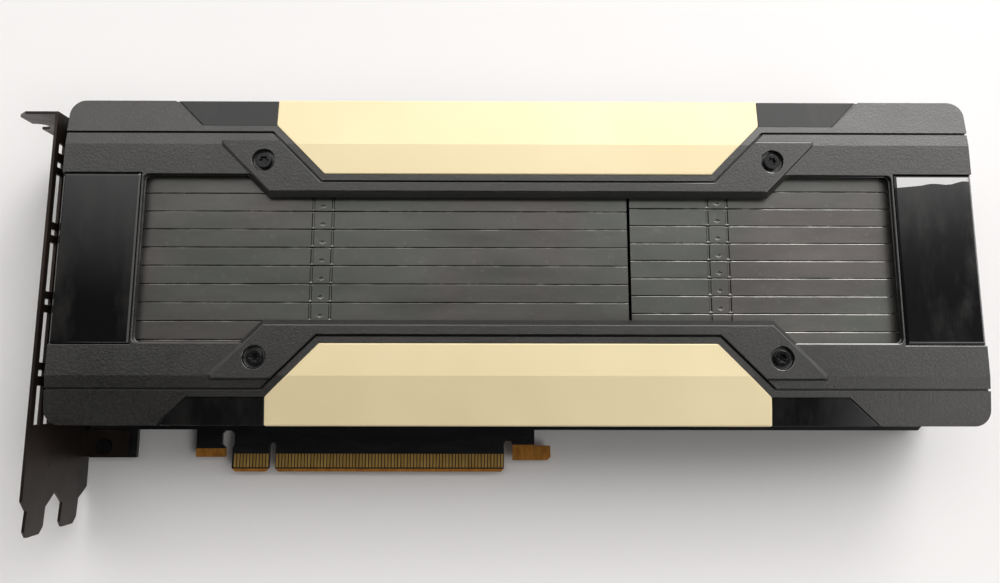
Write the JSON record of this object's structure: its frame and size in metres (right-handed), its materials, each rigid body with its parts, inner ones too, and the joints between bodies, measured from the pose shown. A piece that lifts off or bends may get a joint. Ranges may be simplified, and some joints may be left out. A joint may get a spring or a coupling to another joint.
{
  "type": "passive accelerator card",
  "caption": "Dual-slot passive accelerator card: dark shroud with champagne accent plates, a window over folded cooling fins, vented slot bracket and edge connector.",
  "frame": {"origin": "under the middle of the card's bounding box, on the outer face of the backplate", "axes": "+X along the card from the slot bracket to the far end, +Y from the edge connector to the head of the card, +Z from the backplate to the shroud's top"},
  "size_m": [0.2788, 0.1262, 0.039],
  "materials": {
    "nickel_steel": "satin black nickel",
    "screw_steel": "nickel plated",
    "board": "black solder mask",
    "gold_contact": "gold plated",
    "black_plate": "satin",
    "black_screw": "black zinc",
    "spring_steel": "bare spring steel",
    "cast_black": "satin",
    "copper_plate": "nickel plated copper",
    "fin_aluminium": "satin, grey plated",
    "substrate": "package laminate",
    "silicon": "polished",
    "coil_grey": "pressed ferrite",
    "pad_grey": "soft pad",
    "chip_black": "moulded",
    "can_black": "moulded",
    "inlet_black": "moulded",
    "pin_brass": "plated",
    "shroud": "fine texture",
    "champagne": "satin anodised champagne",
    "gloss_black": "high gloss"
  },
  "bodies": {
    "root": {"io_bracket": "nickel_steel", "bracket_screws": "screw_steel", "circuit_board": "board", "edge_contacts": "gold_contact", "backplate": "black_plate", "backplate_screws": "black_screw", "spring_bracket": "spring_steel", "spring_screws": "screw_steel", "base_frame": "cast_black", "side_screws": "black_screw", "vapor_chamber": "copper_plate", "fin_stack_main": "fin_aluminium", "fin_stack_rear": "fin_aluminium", "gpu_substrate": "substrate", "gpu_stiffener": "nickel_steel", "gpu_die": "silicon", "memory_stacks": "silicon", "power_inductors": "coil_grey", "thermal_pads": "pad_grey", "power_stages": "chip_black", "polymer_capacitors": "can_black", "power_connector": "inlet_black", "power_pins": "pin_brass", "shroud_cover": "shroud", "upper_side_cover": "shroud", "lower_side_cover": "shroud", "upper_gold_plate": "champagne", "lower_gold_plate": "champagne", "cover_inlays": "gloss_black", "rear_end_panel": "gloss_black", "front_end_panel": "gloss_black", "cover_screws": "black_screw"}
  },
  "joints": []
}
